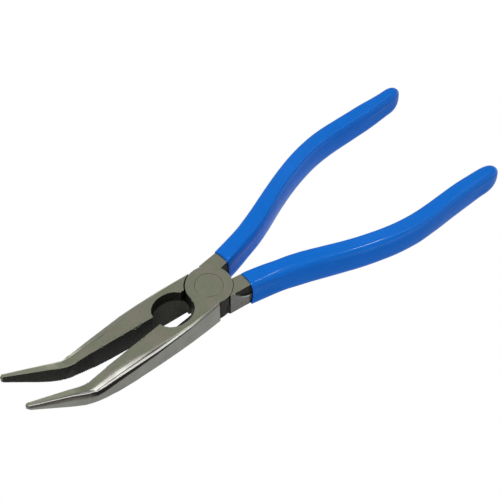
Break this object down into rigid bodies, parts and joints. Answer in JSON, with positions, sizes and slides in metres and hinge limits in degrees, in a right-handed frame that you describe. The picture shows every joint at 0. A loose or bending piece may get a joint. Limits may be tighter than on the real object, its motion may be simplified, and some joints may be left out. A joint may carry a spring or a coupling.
{
  "type": "needle nose pliers",
  "caption": "Long-nose pliers with a lap joint, nose bent up to one side, serrated tips, oval pipe grip with wire cutter, and dipped plastic grips on spread handles.",
  "frame": {"origin": "on the pivot axis, at the flat underside of the lap joint", "axes": "+X along the bisector of the open jaws towards the nose, +Y towards the upper half's jaw, +Z along the rivet towards the side the nose is bent to"},
  "size_m": [0.2021, 0.06, 0.0265],
  "materials": {
    "ground_steel": "satin ground faces, black oxide left in the recesses and on the gripping faces",
    "rivet_steel": "satin, ground flush with the joint",
    "dipped_grip": "glossy blue dipped PVC"
  },
  "bodies": {
    "lower": {"lower_half": "ground_steel", "lower_half_grip": "dipped_grip", "pivot_rivet": "rivet_steel"},
    "upper": {"upper_half": "ground_steel", "upper_half_grip": "dipped_grip"}
  },
  "joints": [
    {"name": "pivot", "type": "hinge", "parent": "lower", "child": "upper", "pos_m": [0, 0, 0.0054], "axis": [0, 0, 1], "range_deg": [-8.84, 27]}
  ]
}
